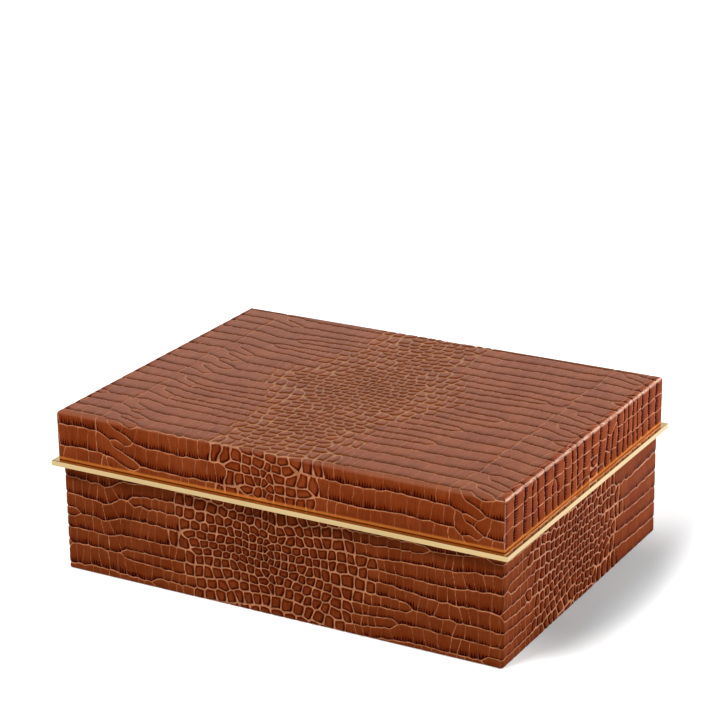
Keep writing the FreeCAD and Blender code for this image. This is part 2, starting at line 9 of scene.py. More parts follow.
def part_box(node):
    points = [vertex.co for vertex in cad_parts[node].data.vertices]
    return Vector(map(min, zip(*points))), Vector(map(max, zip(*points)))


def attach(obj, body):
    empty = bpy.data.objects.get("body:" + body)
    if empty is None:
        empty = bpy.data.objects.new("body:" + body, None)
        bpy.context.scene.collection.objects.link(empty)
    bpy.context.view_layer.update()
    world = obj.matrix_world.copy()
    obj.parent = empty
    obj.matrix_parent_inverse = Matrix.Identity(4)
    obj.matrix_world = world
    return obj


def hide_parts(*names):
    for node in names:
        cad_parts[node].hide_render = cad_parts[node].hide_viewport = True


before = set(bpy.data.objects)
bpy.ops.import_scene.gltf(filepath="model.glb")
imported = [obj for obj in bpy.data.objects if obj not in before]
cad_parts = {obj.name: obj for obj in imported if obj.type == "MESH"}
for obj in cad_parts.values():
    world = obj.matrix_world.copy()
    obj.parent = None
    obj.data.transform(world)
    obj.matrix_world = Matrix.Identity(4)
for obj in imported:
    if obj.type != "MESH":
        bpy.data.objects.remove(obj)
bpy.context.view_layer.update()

MM = 0.001

# Leather wraps, in millimetres: the sizes of their solids, but for the lid's finer hem
THICKNESS = 1.2
ROLL_RADIUS = 2.5
LID_HEM_RADIUS = 0.5
LID_LIP_WIDTH = 10.2
CORNER_RADIUS = 2.0
BASE_HEM_RADIUS = 1.0
BASE_RIM_WIDTH = 11.7
BASE_TURN_UNDER = 12.0

# Meshes of the wraps
LEAST_CORNER_RADIUS = 0.3
LEAF_SINK = 0.05
GRID_STEP = 0.6
LIP_STEP = 1.5
HIDDEN_STEP = 4.5
HEM_STEPS = 5
HEM_ANGLES = [0.5 * math.pi * step / HEM_STEPS for step in range(1, HEM_STEPS + 1)]
SNAP_SHARE = 0.42
UP = np.array((0.0, 0.0, 1.0))

# Rows of the embossing plate, in millimetres on the flat leather: u along them, v across them
FIRST_ROW_SPREAD = 0.8
LAST_GAP = 12.0
SHORT_ROW_START = (0.2, 0.7)
ROW_SPREAD = 0.4
ROW_END_SPREAD = 4.0
PUSH_ROUNDS = 120
PUSH_SHARE = 0.25
WAVE_SPREAD = (0.7, 1.5)

# Seams, where rows meet out of line, and the pointed scales after them
SEAM_JOG = 4.0
JOG_BEFORE = 0.15
JOG_LENGTH = 11.0
JOG_WAVE = 80.0
SEAM_SPREAD = 1.6
SEAM_CROSS = 0.85
SEAM_CROSS_TOP = 0.45
LEAF_DROP = 0.85
LEAF_INSET = 2.0
LEAF_CHANCE = 0.45
LEAVES_BELOW = -100.0
LEAF_ROW_START = 0.55
LEAF_ROW_RISE = 0.08

# Tiles of the rows: towards the pebbles they get shorter, with deeper cross creases
LEAST_TILE = 3.0
LAST_TILE = 4.5
TILE_SPREAD = (0.75, 1.3)
TILE_TILT = 0.28
TILE_CHANGE = (0.6, 1.0)
SHORT_TILE = 0.68
TILE_CROSS = (0.34, 0.95)
CROSS_SPREAD = (0.6, 1.25)
TILE_INSET = 1.7
INSET_SHARE = 0.3
MOST_INSET = 0.45
BRICK_LENGTH = 9.5
BRICK_SHIFT = 0.3
BRICK_SPREAD = 0.3
BRICK_TILT = 0.3
BRICK_CROSS = (1.5, 2.1)
PLAIN_CROSS = 0.2

# Lenses of pebbles
LENS_HALF_WIDTH = 36.0
LENS_SWELL = 30.0
LENS_SQUEEZE = 0.5
SQUEEZE_REACH = 34.0
LENS_ROW_GAPS = (8.8, 12.0)
GAP_CHANGE = (90.0, 115.0)
LENS_ROW_START = (0.1, 0.6)
LEAST_PEBBLE = 2.0
PEBBLE_PITCH = 5.2
EDGE_PEBBLE = 7.0
MIDDLE_PEBBLE = 4.8
FAR_PEBBLE = 7.4
PEBBLE_SPREAD = (0.82, 1.2)
PEBBLE_CHANGE = (0.5, 1.0)
PEBBLE_FAR = 45.0
PEBBLE_LENGTH = (0.1, 0.22)
PEBBLE_STRAY = 0.4
PEBBLE_ROUND_FROM = 1.9
PEBBLE_ROUNDING = 0.5
ROUNDED_CREASE = 0.42
PALEST_PEBBLE = 0.55
PEBBLE_DARKNESS = (0.85, 1.0)

# Search for the nearest scales
SITE_MARGIN = 20.0
SEARCH_BIN = 12.0
SEARCH_REACH = 17.0
FAR = 50.0
LEAST_SLOPE = 0.3
TINY = 1e-6

# What differs between the two hides. Span and v_high: how much of the plate they cover. Lenses and
# seams: where they are along u. Leaf: length of the pointed scales. Brick: from where on the cross
# creases line up. Plain: from where on they nearly vanish.
NEVER = 2500.0
Plate = namedtuple("Plate", "seed span v_high first_row lens_v lens_reach lenses seams tile_length "
                   "seam_pitch least_pitch short_rows leaf_length brick_from plain_from")
LID_PLATE = Plate(
    seed=3, span=(-185, 185), v_high=150, first_row=-152.0, lens_v=8.0, lens_reach=32.0,
    lenses=(-243.0, -3.5, 236.0), seams=(-121.5, 117.0), tile_length=8.0, seam_pitch=(11.4, 13.8),
    least_pitch=8.6, short_rows=0.25, leaf_length=(14.0, 25.0), brick_from=149.5, plain_from=NEVER)
BASE_PLATE = Plate(
    seed=5, span=(-520, 520), v_high=84, first_row=-14.0, lens_v=39.0, lens_reach=46.0,
    lenses=(-512.0, -246.0, -3.5, 246.0, 512.0), seams=(-372.0, -118.0, 117.0, 371.0), tile_length=6.4,
    seam_pitch=(8.8, 12.5), least_pitch=7.2, short_rows=0.42, leaf_length=None, brick_from=NEVER,
    plain_from=295.0)

# Relief in millimetres, with depth and width of the creases, its shares on some faces, and its drift
ROW_CREASE = (0.38, 0.7)
CROSS_CREASE = (0.26, 0.4)
PEBBLE_DOME = 0.34
PEBBLE_DOME_REACH = 1.8
LOWER_LIP = 0.34
SHINGLE_TILT = 0.1
SHINGLE_EDGE = 0.8
CORNER_FADE = 1.4
FRAME_FADE = 3.5
ROLL_RELIEF = 0.4
HEM_RELIEF = 0.1
RIM_RELIEF = 0.35
RIM_UPWARD = 0.99
UNDER_UPWARD = -0.9
TOP_RELIEF = 0.85
TOP_TURN = 0.5
SMALL_WAVE = 9.0
LARGE_WAVE = 55.0
DRIFT = ((0.4, 0.7), (0.3, 1.1))

# Burnish of the top, which sets its gloss and its painted sheen tone: the angles it fades over on the
# rolls, and a plainer band along each end, a painted loss of sheen
SIDE_POLISH = (1.25, 1.55)
FRONT_POLISH = (0.25, 0.8)
END_BAND_INSET = 3.0
END_BAND_WIDTH = 1.6
END_BAND_DIP = 0.9

# Painted highlights on the lid's corners and on its front and back rolls, and the heights over which the
# painted glow of the brass fades up from its hem
CORNER_HIGHLIGHT_WIDTH = 0.6
ROLL_HIGHLIGHT = 0.3
BRASS_GLOW_HEIGHT = (1.2, 2.6)
FRONT_BRASS_GLOW = 1.1


def step(value, start, stop):
    """Goes smoothly from 0 at start to 1 at stop."""
    t = np.clip((value - start) / (stop - start), 0.0, 1.0)
    return t * t * (3.0 - 2.0 * t)


def mix(a, b, t):
    return a + (b - a) * t


def make_wobble(rng, wavelength, waves=7):
    """A smooth wandering function of u and v, about -1 to 1."""
    angle = rng.uniform(0, 2 * np.pi, waves)
    number = 2 * np.pi / (wavelength * rng.uniform(*WAVE_SPREAD, waves))
    phase = rng.uniform(0, 2 * np.pi, waves)

    def wobble(u, v):
        total = 0
        for a, k, p in zip(angle, number, phase):
            total = total + np.sin(k * (np.cos(a) * u + np.sin(a) * v) + p)
        return total / np.sqrt(2 * waves)
    return wobble


def lens_half_width(v, plate):
    return LENS_HALF_WIDTH + LENS_SWELL * np.exp(-((v - plate.lens_v) / plate.lens_reach) ** 2)


def eased(distance, stops, levels):
    """Goes smoothly from level to level, reaching each at its stop."""
    level = levels[0]
    for start, stop, after in zip(stops, stops[1:], levels[1:]):
        level = mix(level, after, step(distance, start, stop))
    return level


class Sites:
    """Middle lines of the scales: short straight runs that the scales grow round."""

    def __init__(self):
        self.table = []
        self.last_row = 0

    def new_row(self):
        self.last_row += 1
        return self.last_row

    def add(self, run, row, cross, pebble):
        self.table.append((*run, row, cross, pebble))


def add_tiles(sites, rng, row, path, start, end, plate):
    """Cuts a row's path, from start to end along it, into tiles."""
    at = start
    while at < end - LEAST_TILE:
        share = step(at / end, *TILE_CHANGE)
        stop = at + plate.tile_length * mix(1.0, SHORT_TILE, share) * rng.uniform(*TILE_SPREAD)
        cross = mix(*TILE_CROSS, share) * rng.uniform(*CROSS_SPREAD)
        tilt = rng.normal(0, TILE_TILT)
        out = abs(path(at)[0])
        if abs(path(stop)[0]) > plate.brick_from:
            place = max(math.floor((out - plate.brick_from) / BRICK_LENGTH + BRICK_SHIFT) + 1, 0)
            stop = at + plate.brick_from + place * BRICK_LENGTH + rng.normal(0, BRICK_SPREAD) - out
            cross = rng.uniform(*BRICK_CROSS)
            tilt *= BRICK_TILT
        elif out > plate.plain_from:
            cross *= PLAIN_CROSS
        elif at < 3 * SEAM_SPREAD:
            on_top = plate.leaf_length and path(at)[1] > LEAVES_BELOW
            cross = SEAM_CROSS_TOP if on_top else SEAM_CROSS
        if end - stop < LAST_TILE:
            stop = end
        inset = min(mix(TILE_INSET, INSET_SHARE * (stop - at), share), MOST_INSET * (stop - at))
        u0, v0 = path(at + inset)
        u1, v1 = path(stop - inset)
        sites.add((u0, v0 - tilt, u1, v1 + tilt), row, cross, 0.0)
        at = stop


def add_pebbles(sites, rng, path, start, end, lens_v):
    """Cuts a row's path, from start to the middle of the lens, into pebbles."""
    at = start
    while at < end - LEAST_PEBBLE:
        away = step(abs(path(at)[1] - lens_v), 0.0, PEBBLE_FAR)
        middle = mix(MIDDLE_PEBBLE, FAR_PEBBLE, away)
        near = step(at / end, *PEBBLE_CHANGE)
        spacing = mix(EDGE_PEBBLE, middle, near) * rng.uniform(*PEBBLE_SPREAD)
        if end - at - spacing < LEAST_PEBBLE:
            spacing = end - at
        u, v = path(at + spacing / 2)
        long = spacing * rng.uniform(*PEBBLE_LENGTH)
        tilt = rng.normal(0, PEBBLE_STRAY)
        v += rng.normal(0, PEBBLE_STRAY)
        dark = mix(PALEST_PEBBLE, 1.0, near * (1 - away)) * rng.uniform(*PEBBLE_DARKNESS)
        sites.add((u - long, v - tilt, u + long, v + tilt), sites.new_row(), 1.0, dark)
        at += spacing


def spread_out(places, least):
    """Pushes neighbours apart to about a least distance."""
    places = places.copy()
    for _ in range(PUSH_ROUNDS):
        push = PUSH_SHARE * np.maximum(least - np.diff(places), 0)
        places[:-1] -= push
        places[1:] += push
    return places


def with_short_rows(rng, levels, chance, least_gap):
    """Puts new levels half way in some wide gaps. Gives all levels, and which are new."""
    result = []
    gaps = np.append(np.diff(levels), LAST_GAP)
    for level, gap, likely, least in zip(levels, *np.broadcast_arrays(gaps, chance, least_gap)):
        result.append((level, False))
        if gap > least and rng.uniform() < likely:
            result.append((level + 0.5 * gap, True))
    levels, is_new = zip(*result)
    return np.array(levels), np.array(is_new)


# How rows set out from a seam: first distance and level, where they settle, and the level there
Start = namedtuple("Start", "begin level settle after rows")


def start_straight(levels, rows, shifts, jogs):
    """Rows that go on from the ones before the seam."""
    settle = np.full(len(levels), JOG_LENGTH)
    return Start(shifts, levels, settle, levels + jogs, rows)


def start_with_leaves(sites, rng, seam_u, levels, rows, shifts, plate):
    """Pointed scales lead down from the seam, and the rows set out between them."""
    pitch = np.diff(levels)
    tips = levels[1:] - LEAF_DROP * pitch
    length = rng.uniform(*plate.leaf_length, len(tips))
    begin = LEAF_ROW_START * length[:-1]
    level = levels[1:-1] + LEAF_ROW_RISE * pitch[1:]
    after = 0.5 * (tips[1:] + tips[:-1])
    is_leaf = (rng.uniform(size=len(tips)) < LEAF_CHANCE) | (tips < LEAVES_BELOW)
    for i, tip in enumerate(tips):
        if is_leaf[i]:
            root = (seam_u + shifts[i + 1] + LEAF_INSET, levels[i + 1])
            sites.add((*root, seam_u + length[i], tip), rows[i + 1], 2 * SEAM_CROSS, 0.0)
        elif i < len(begin):
            begin[i] = LEAF_INSET
            level[i] = levels[i + 1]
    return Start(begin, level, length[:-1] + JOG_LENGTH, after, [sites.new_row() for _ in after])


def add_half_plate(sites, rng, seam_u, side, lens_u, start, plate):
    """The rows from a seam to the middle of the lens on one side of it."""
    total = abs(lens_u - seam_u)
    chance = plate.short_rows * (start.after > LEAVES_BELOW) * (seam_u < plate.plain_from)
    after, is_short = with_short_rows(rng, start.after, chance, 0.0)
    edge = spread_out(after, plate.least_pitch) + rng.normal(0, ROW_SPREAD, len(after))
    reach = total - lens_half_width(edge, plate) + rng.normal(0, ROW_END_SPREAD, len(edge))
    far = step(np.abs(edge - plate.lens_v), *GAP_CHANGE)
    lens_edge, is_lens_row = with_short_rows(rng, edge, 1.0, mix(*LENS_ROW_GAPS, far))
    away = (lens_edge - plate.lens_v) / SQUEEZE_REACH
    middle = lens_edge - LENS_SQUEEZE * (lens_edge - plate.lens_v) * np.exp(-away ** 2)
    middle = spread_out(middle, PEBBLE_PITCH)
    lens_start = total - lens_half_width(lens_edge, plate)
    starts = zip(start.begin, start.level, start.settle, start.rows)
    tile_rows = zip(is_short, after, reach)
    for is_new, from_lens, at_edge, at_middle in zip(is_lens_row, lens_start, lens_edge, middle):
        if is_new:
            stops = (from_lens, total)
            levels = (at_edge, at_middle)
            first_pebble = mix(from_lens, total, rng.uniform(*LENS_ROW_START))
        else:
            short, settled, first_pebble = next(tile_rows)
            if short:
                begin = rng.uniform(*SHORT_ROW_START) * first_pebble
                row = sites.new_row()
                stops = (0.0, first_pebble, total)
                levels = (settled, at_edge, at_middle)
            else:
                begin, level, settle, row = next(starts)
                stops = (begin, settle, first_pebble, total)
                levels = (level, settled, at_edge, at_middle)

        def path(distance, stops=stops, levels=levels):
            return seam_u + side * distance, eased(distance, stops, levels)
        if not is_new:
            add_tiles(sites, rng, row, path, begin, first_pebble, plate)
        add_pebbles(sites, rng, path, first_pebble, total, plate.lens_v)


def build_sites(rng, plate):
    """The scales of a hide: their runs, rows, cross creases and kinds."""
    sites = Sites()
    for seam_u, lens_before, lens_after in zip(plate.seams, plate.lenses, plate.lenses[1:]):
        levels = [plate.first_row + rng.normal(0, FIRST_ROW_SPREAD)]
        while levels[-1] < plate.v_high:
            levels.append(levels[-1] + rng.uniform(*plate.seam_pitch))
        levels = np.array(levels)
        rows = [sites.new_row() for _ in levels]
        shifts = rng.normal(0, SEAM_SPREAD, len(levels)).clip(-2 * SEAM_SPREAD, 2 * SEAM_SPREAD)
        wander = make_wobble(rng, JOG_WAVE)(0.0, levels)
        before = start_straight(levels, rows, -shifts, JOG_BEFORE * SEAM_JOG * wander)
        add_half_plate(sites, rng, seam_u, -1, lens_before, before, plate)
        if plate.leaf_length:
            after = start_with_leaves(sites, rng, seam_u, levels, rows, shifts, plate)
        else:
            after = start_straight(levels, rows, shifts, SEAM_JOG * wander)
        add_half_plate(sites, rng, seam_u, 1, lens_after, after, plate)
    table = np.array(sites.table, float)
    ends = table[:, [0, 2]]
    low, high = plate.span
    table = table[(ends.max(1) > low - SITE_MARGIN) & (ends.min(1) < high + SITE_MARGIN)]
    return table[:, :4], table[:, 4], table[:, 5], table[:, 6]


def nearest(points, runs):
    """Distances from points to runs, and the way from each run's nearest point."""
    start = runs[:, :2]
    along = runs[:, 2:] - start
    from_start = points[:, None, :] - start[None]
    square = np.maximum((along * along).sum(1), TINY)
    t = np.clip((from_start * along).sum(2) / square, 0, 1)
    away = from_start - t[..., None] * along
    return np.sqrt((away * away).sum(2)) + TINY, away


def crease_between(distance, away, d1, n1, allowed):
    """How far points are from the crease between their own run and the nearest allowed one."""
    picked = np.where(allowed, distance, FAR)
    other = picked.argmin(1)
    rank = np.arange(len(picked))
    d2 = picked[rank, other]
    n2 = away[rank, other] / distance[rank, other][:, None]
    turn = n2 - n1
    slope = np.maximum(np.linalg.norm(turn, axis=1), LEAST_SLOPE)
    edge = np.where(d2 < FAR, (d2 - d1) / slope, FAR)
    pull = -(d2 - d1)[:, None] * turn / slope[:, None] ** 2
    return other, edge, pull


# How points lie in their scales: distances to the creases, place in the row, and kind of the scale
Field = namedtuple("Field", "row_edge round_edge cross_edge rise pebble strength tint pull")


def crease_field(points, sites):
    """Finds the scale that each point belongs to, and the creases next to it."""
    runs, rows, cross, pebble, tints = sites
    cells = np.floor(points / SEARCH_BIN).astype(int)
    cells -= cells.min(0)
    key = cells[:, 0] * (cells[:, 1].max() + 1) + cells[:, 1]
    order = np.argsort(key, kind="stable")
    cuts = np.flatnonzero(np.diff(key[order])) + 1
    middles = 0.5 * (runs[:, :2] + runs[:, 2:])
    parts = []
    for group in np.split(order, cuts):
        here = points[group]
        centre = 0.5 * (here.min(0) + here.max(0))
        near = np.flatnonzero((np.abs(middles - centre) < SEARCH_BIN / 2 + SEARCH_REACH).all(1))
        distance, away = nearest(here, runs[near])
        first = distance.argmin(1)
        rank = np.arange(len(here))
        d1 = distance[rank, first]
        n1 = away[rank, first] / d1[:, None]
        own = near[first]
        same = rows[near] == rows[own][:, None]
        _, row_edge, row_pull = crease_between(distance, away, d1, n1, ~same)
        same[rank, first] = False
        other, cross_edge, cross_pull = crease_between(distance, away, d1, n1, same)
        rounding = PEBBLE_ROUNDING * (pebble[own] > 0) * np.maximum(d1 - PEBBLE_ROUND_FROM, 0)
        parts.append(Field(
            row_edge=np.maximum(row_edge - ROUNDED_CREASE * rounding, 0),
            round_edge=np.maximum(row_edge - rounding, 0),
            cross_edge=cross_edge,
            rise=n1[:, 1] * d1 / (d1 + row_edge),
            pebble=pebble[own],
            strength=0.5 * (cross[own] + cross[near][other]),
            tint=tints[own],
            pull=np.where((row_edge < cross_edge)[:, None], row_pull, cross_pull)))
    back = np.argsort(order)
    return Field(*[np.concatenate(column)[back] for column in zip(*parts)])


def groove(distance, depth, width):
    return depth * np.exp(-(distance / width) ** 2)


class Leather:
    """One embossed hide, which gives height and field at any place on the flat leather."""

    def __init__(self, plate):
        rng = np.random.default_rng(plate.seed)
        sites = build_sites(rng, plate)
        self.sites = (*sites, rng.uniform(-1, 1, len(sites[0])))
        self.small = [make_wobble(rng, SMALL_WAVE) for _ in range(2)]
        self.large = [make_wobble(rng, LARGE_WAVE) for _ in range(2)]

    def at(self, sheet):
        drift = []
        for (fine, broad), small, large in zip(DRIFT, self.small, self.large):
            drift.append(fine * small(*sheet.T) + broad * large(*sheet.T))
        field = crease_field(sheet + np.stack(drift, 1), self.sites)
        is_pebble = field.pebble > 0
        height = -groove(field.row_edge, *ROW_CREASE)
        height -= field.strength * groove(field.cross_edge, *CROSS_CREASE)
        height += PEBBLE_DOME * is_pebble * (step(field.round_edge, 0.0, PEBBLE_DOME_REACH) - 1.0)
        height -= LOWER_LIP * ~is_pebble * np.maximum(-field.rise, 0) ** 3
        height -= SHINGLE_TILT * field.rise * (1 - groove(field.row_edge, 1.0, SHINGLE_EDGE))
        return height, field


# Mesh building

def new_mesh(name, points, quads, caps=()):
    """A smooth mesh of points in millimetres, four-cornered faces and closing caps."""
    mesh = bpy.data.meshes.new(name)
    corners = np.concatenate([quads.ravel(), *caps]).astype(np.int32)
    sizes = np.array([4] * len(quads) + [len(cap) for cap in caps], np.int32)
    starts = (np.cumsum(sizes) - sizes).astype(np.int32)
    mesh.vertices.add(len(points))
    mesh.vertices.foreach_set("co", (points * MM).astype(np.float32).ravel())
    mesh.loops.add(len(corners))
    mesh.loops.foreach_set("vertex_index", corners)
    mesh.polygons.add(len(sizes))
    mesh.polygons.foreach_set("loop_start", starts)
    mesh.polygons.foreach_set("loop_total", sizes)
    mesh.polygons.foreach_set("use_smooth", np.ones(len(sizes), bool))
    mesh.update(calc_edges=True)
    mesh.validate()
    return mesh


def add_marks(mesh, **marks):
    """Stores vectors on a mesh's points for its material."""
    for name, values in marks.items():
        layer = mesh.attributes.new(name, "FLOAT_VECTOR", "POINT")
        layer.data.foreach_set("vector", values.astype(np.float32).ravel())


def add_object(name, data):
    made = bpy.data.objects.new(name, data)
    bpy.context.collection.objects.link(made)
    return made


def new_piece(name, mesh, material, body, nodes):
    """Puts a mesh in the scene as a piece that stands for CAD nodes."""
    piece = add_object(name, mesh)
    mesh.materials.append(material)
    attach(piece, body)
    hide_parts(*nodes)
    return piece


def box_mm(node):
    low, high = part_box(node)
    return np.array(low) / MM, np.array(high) / MM


def ring_faces(first, second):
    """Faces between two closed loops of point numbers."""
    return np.stack([first, np.roll(first, -1), np.roll(second, -1), second], 1)


def grid_faces(number):
    """Faces of a grid of point numbers."""
    corners = [number[:-1, :-1], number[:-1, 1:], number[1:, 1:], number[1:, :-1]]
    return np.stack(corners, -1).reshape(-1, 4)


def grid_rim(number):
    """Point numbers round the edge of a grid."""
    return np.concatenate([number[0, :-1], number[:-1, -1], number[-1, :0:-1], number[:0:-1, 0]])


def profile_run(start, end, spacing):
    """Evenly spaced places from after start to end."""
    count = max(1, round(abs(end - start) / spacing))
    return np.linspace(start, end, count + 1)[1:]


# A ring of a wrap: inset, height, place along the leather, outward and upward part of the normal
Ring = namedtuple("Ring", "inset height length outward upward")

# The smooth seen side of a wrap: with the directions of u and v, the flat places and the relief's share
Skin = namedtuple("Skin", "points normal along_u along_v sheet fade")


class Rings:
    """Faces between rings of points that are numbered in turn."""

    def __init__(self, first, total):
        self.last = first
        self.total = total
        self.faces = []

    def add(self):
        ring = np.arange(self.total, self.total + len(self.last))
        self.faces.append(ring_faces(ring, self.last))
        self.last = ring
        self.total += len(ring)


def joined(skins):
    return Skin(*[np.concatenate(column) for column in zip(*skins)])


def embossed(skin, height, pull):
    """The points of a skin with the relief: those close to a crease move on to it."""
    near = (np.linalg.norm(pull, axis=1) < SNAP_SHARE * GRID_STEP) * skin.fade
    pull_u, pull_v = pull.T[..., None]
    points = skin.points + near[:, None] * (pull_u * skin.along_u + pull_v * skin.along_v)
    return points + (height * skin.fade)[:, None] * skin.normal


def add_scale_marks(mesh, sheet, field):
    """Marks of the scales. The hidden points, which come last, stay plain."""
    plain = np.zeros((len(mesh.vertices) - len(sheet), 3))
    edges = np.column_stack([field.row_edge, field.cross_edge, field.strength])
    shape = np.column_stack([field.rise, field.pebble, field.tint])
    place = np.column_stack([sheet, np.minimum(field.round_edge, FAR)])
    add_marks(mesh, scale_edges=np.concatenate([edges, plain + FAR]),
              scale_shape=np.concatenate([shape, plain]), sheet=np.concatenate([place, plain]))


# Lid leather: one sheet over the top, rolled over four edges, down and under

def lid_profile(top, bottom):
    """Rings below the roll, down the wall and round the hem."""
    radius = LID_HEM_RADIUS
    roll_foot = top - ROLL_RADIUS
    levels = profile_run(roll_foot, bottom + radius, GRID_STEP)
    rings = [Ring(0.0, z, roll_foot - z, 1.0, 0.0) for z in levels]
    wall = roll_foot - bottom - radius
    for angle in HEM_ANGLES:
        inset = radius * (1 - math.cos(angle))
        z = bottom + radius * (1 - math.sin(angle))
        rings.append(Ring(inset, z, wall + radius * angle, math.cos(angle), -math.sin(angle)))
    return rings


def lid_inside(top, bottom):
    """Rings of the hidden inside: under and over the lip, and up the wall."""
    low = bottom + THICKNESS
    under = [(inset, bottom) for inset in profile_run(LID_HEM_RADIUS, LID_LIP_WIDTH, HIDDEN_STEP)]
    return under + [(LID_LIP_WIDTH, low), (THICKNESS, low),
                    (THICKNESS, top - ROLL_RADIUS), (ROLL_RADIUS, top - THICKNESS)]


def lid_reach(half):
    """Where a half of the sheet ends below its roll, on the flat leather."""
    return half - ROLL_RADIUS + 0.5 * math.pi * ROLL_RADIUS


def fold(places, half):
    """Bends places on the flat leather over an edge. Gives where they come to lie, and their turn."""
    radius = ROLL_RADIUS
    turn = np.maximum(np.abs(places) - (half - radius), 0.0) / radius
    flat = np.minimum(np.abs(places), half - radius)
    return np.sign(places) * (flat + radius * np.sin(turn)), turn


def lid_sheet(half_x, half_y, top):
    """The top and its rolls: skin, grid of point numbers, turn, and where the turn is to front or back."""
    spans = []
    for half in (half_x, half_y):
        reach = lid_reach(half)
        spans.append(np.linspace(-reach, reach, round(2 * reach / GRID_STEP) + 1))
    flat_u, flat_v = np.meshgrid(*spans)
    x, turn_u = fold(flat_u, half_x)
    y, turn_v = fold(flat_v, half_y)
    over_front = turn_v >= turn_u

    def pick(front, end):
        return np.where(over_front, front, end)
    turn = np.maximum(turn_u, turn_v)
    cosine = np.cos(turn)
    z = top - ROLL_RADIUS + ROLL_RADIUS * cosine
    side = pick(np.sign(flat_v), np.sign(flat_u)) * np.sin(turn)
    zero = np.zeros_like(x)
    normal = (pick(0.0, side), pick(side, 0.0), cosine)
    along_u = (pick(1.0, cosine), zero, pick(0.0, -side))
    along_v = (zero, pick(cosine, 1.0), pick(-side, 0.0))
    vectors = [np.stack(parts, -1).reshape(-1, 3) for parts in ((x, y, z), normal, along_u, along_v)]
    sheet = np.stack([pick(x, flat_u), pick(flat_v, y)], -1).reshape(-1, 2)
    gap = np.abs((half_x - np.abs(x)) - (half_y - np.abs(y)))
    fade = step(np.where(turn > 0, gap, FAR), 0.0, CORNER_FADE) * mix(1.0, ROLL_RELIEF, np.sin(2 * turn))
    number = np.arange(x.size).reshape(x.shape)
    return Skin(*vectors, sheet, fade.ravel()), number, turn, over_front


def lid_polish(turn, over_front, end_gap):
    """Burnish by the turn over the edges and the distance from the ends."""
    start, stop = [np.where(over_front, *pair) for pair in zip(FRONT_POLISH, SIDE_POLISH)]
    polish = 1.0 - step(turn, start, stop)
    # The band along each end lowers the polish and with it the painted sheen tone
    inside = (end_gap - END_BAND_INSET) / END_BAND_WIDTH
    return polish * (1.0 - END_BAND_DIP * np.exp(-inside ** 2))


def build_lid_leather(leather, material):
    low, high = box_mm("lid_leather_wrap")
    half_x, half_y, top = high
    bottom = low[2]
    sheet, number, turn, over_front = lid_sheet(half_x, half_y, top)
    skins = [sheet]

    # The four sides go on down from the edge of the grid, as closed rings: front, right, back, left
    edge = grid_rim(number)
    rows, columns = number.shape
    side = np.repeat([0, 1, 2, 3], [columns - 1, rows - 1, columns - 1, rows - 1])
    out = np.array([(0, -1, 0), (1, 0, 0), (0, 1, 0), (-1, 0, 0)], float)[side]
    is_front = side % 2 == 0
    edge_points = sheet.points[edge]
    edge_sheet = sheet.sheet[edge]
    edge_sheet[~is_front, 0] = lid_reach(half_x) * out[~is_front, 0]
    edge_sheet[~is_front, 1] = edge_points[~is_front, 1]
    corner_gap = np.where(is_front, half_x - np.abs(edge_points[:, 0]), half_y - np.abs(edge_points[:, 1]))

    def ring_points(inset, height):
        ring = edge_points.copy()
        ring[:, 0] *= (half_x - inset) / half_x
        ring[:, 1] *= (half_y - inset) / half_y
        ring[:, 2] = height
        return ring

    rings = Rings(edge, number.size)
    profile = lid_profile(top, bottom)
    across = np.cross(UP, out)
    for ring in profile:
        down = ring.upward * out - ring.outward * UP
        frame_fade = mix(HEM_RELIEF, 1.0, step(ring.height - bottom, 0.0, FRAME_FADE))
        skins.append(Skin(
            points=ring_points(ring.inset, ring.height),
            normal=ring.outward * out + ring.upward * UP,
            along_u=np.where(is_front[:, None], across * -out[:, 1:2], down * out[:, 0:1]),
            along_v=np.where(is_front[:, None], down * out[:, 1:2], across * out[:, 0:1]),
            sheet=edge_sheet + ring.length * out[:, :2],
            fade=step(corner_gap, 0.0, CORNER_FADE) * frame_fade))
        rings.add()
    skin = joined(skins)
    height, field = leather.at(skin.sheet)
    height[:turn.size] *= mix(TOP_RELIEF, 1.0, step(turn.ravel(), 0.0, TOP_TURN))
    points = [embossed(skin, height, field.pull)]
    for inside in lid_inside(top, bottom):
        points.append(ring_points(*inside))
        rings.add()

    # Marks: polish of the top, which sets gloss and a painted sheen tone, and painted highlights on its
    # front and back rolls; then painted highlights down the corners and the painted glow of the brass along
    # the hem of the sides
    finish = np.zeros((rings.total, 3))
    end_gap = half_x - np.abs(sheet.points[:, 0])
    finish[:turn.size, 0] = lid_polish(turn.ravel(), over_front.ravel(), end_gap)
    # Painted highlight along the front and back rolls
    finish[:turn.size, 1] = (ROLL_HIGHLIGHT * over_front * np.sin(2 * turn)).ravel()
    sides = slice(turn.size, len(skin.points))
    heights = np.array([ring.height for ring in profile]) - bottom
    # Painted glow of light from the brass, fading up from the hem
    hem = 1.0 - step(heights, *BRASS_GLOW_HEIGHT)
    # Painted highlight down the corners
    finish[sides, 1] = np.tile(1.0 - step(corner_gap, 0.0, CORNER_HIGHLIGHT_WIDTH), len(profile))
    finish[sides, 2] = np.outer(hem, np.where(is_front, FRONT_BRASS_GLOW, 1.0)).ravel()
    faces = np.concatenate([grid_faces(number), *rings.faces])
    mesh = new_mesh("lid_leather", np.concatenate(points), faces, [rings.last[::-1]])
    add_scale_marks(mesh, skin.sheet, field)
    add_marks(mesh, finish=finish)
    return new_piece("lid_leather", mesh, material, "lid", ["lid_leather_wrap"])


# Base leather: one strip round the sides, over the rim and under the bottom, joined at the back

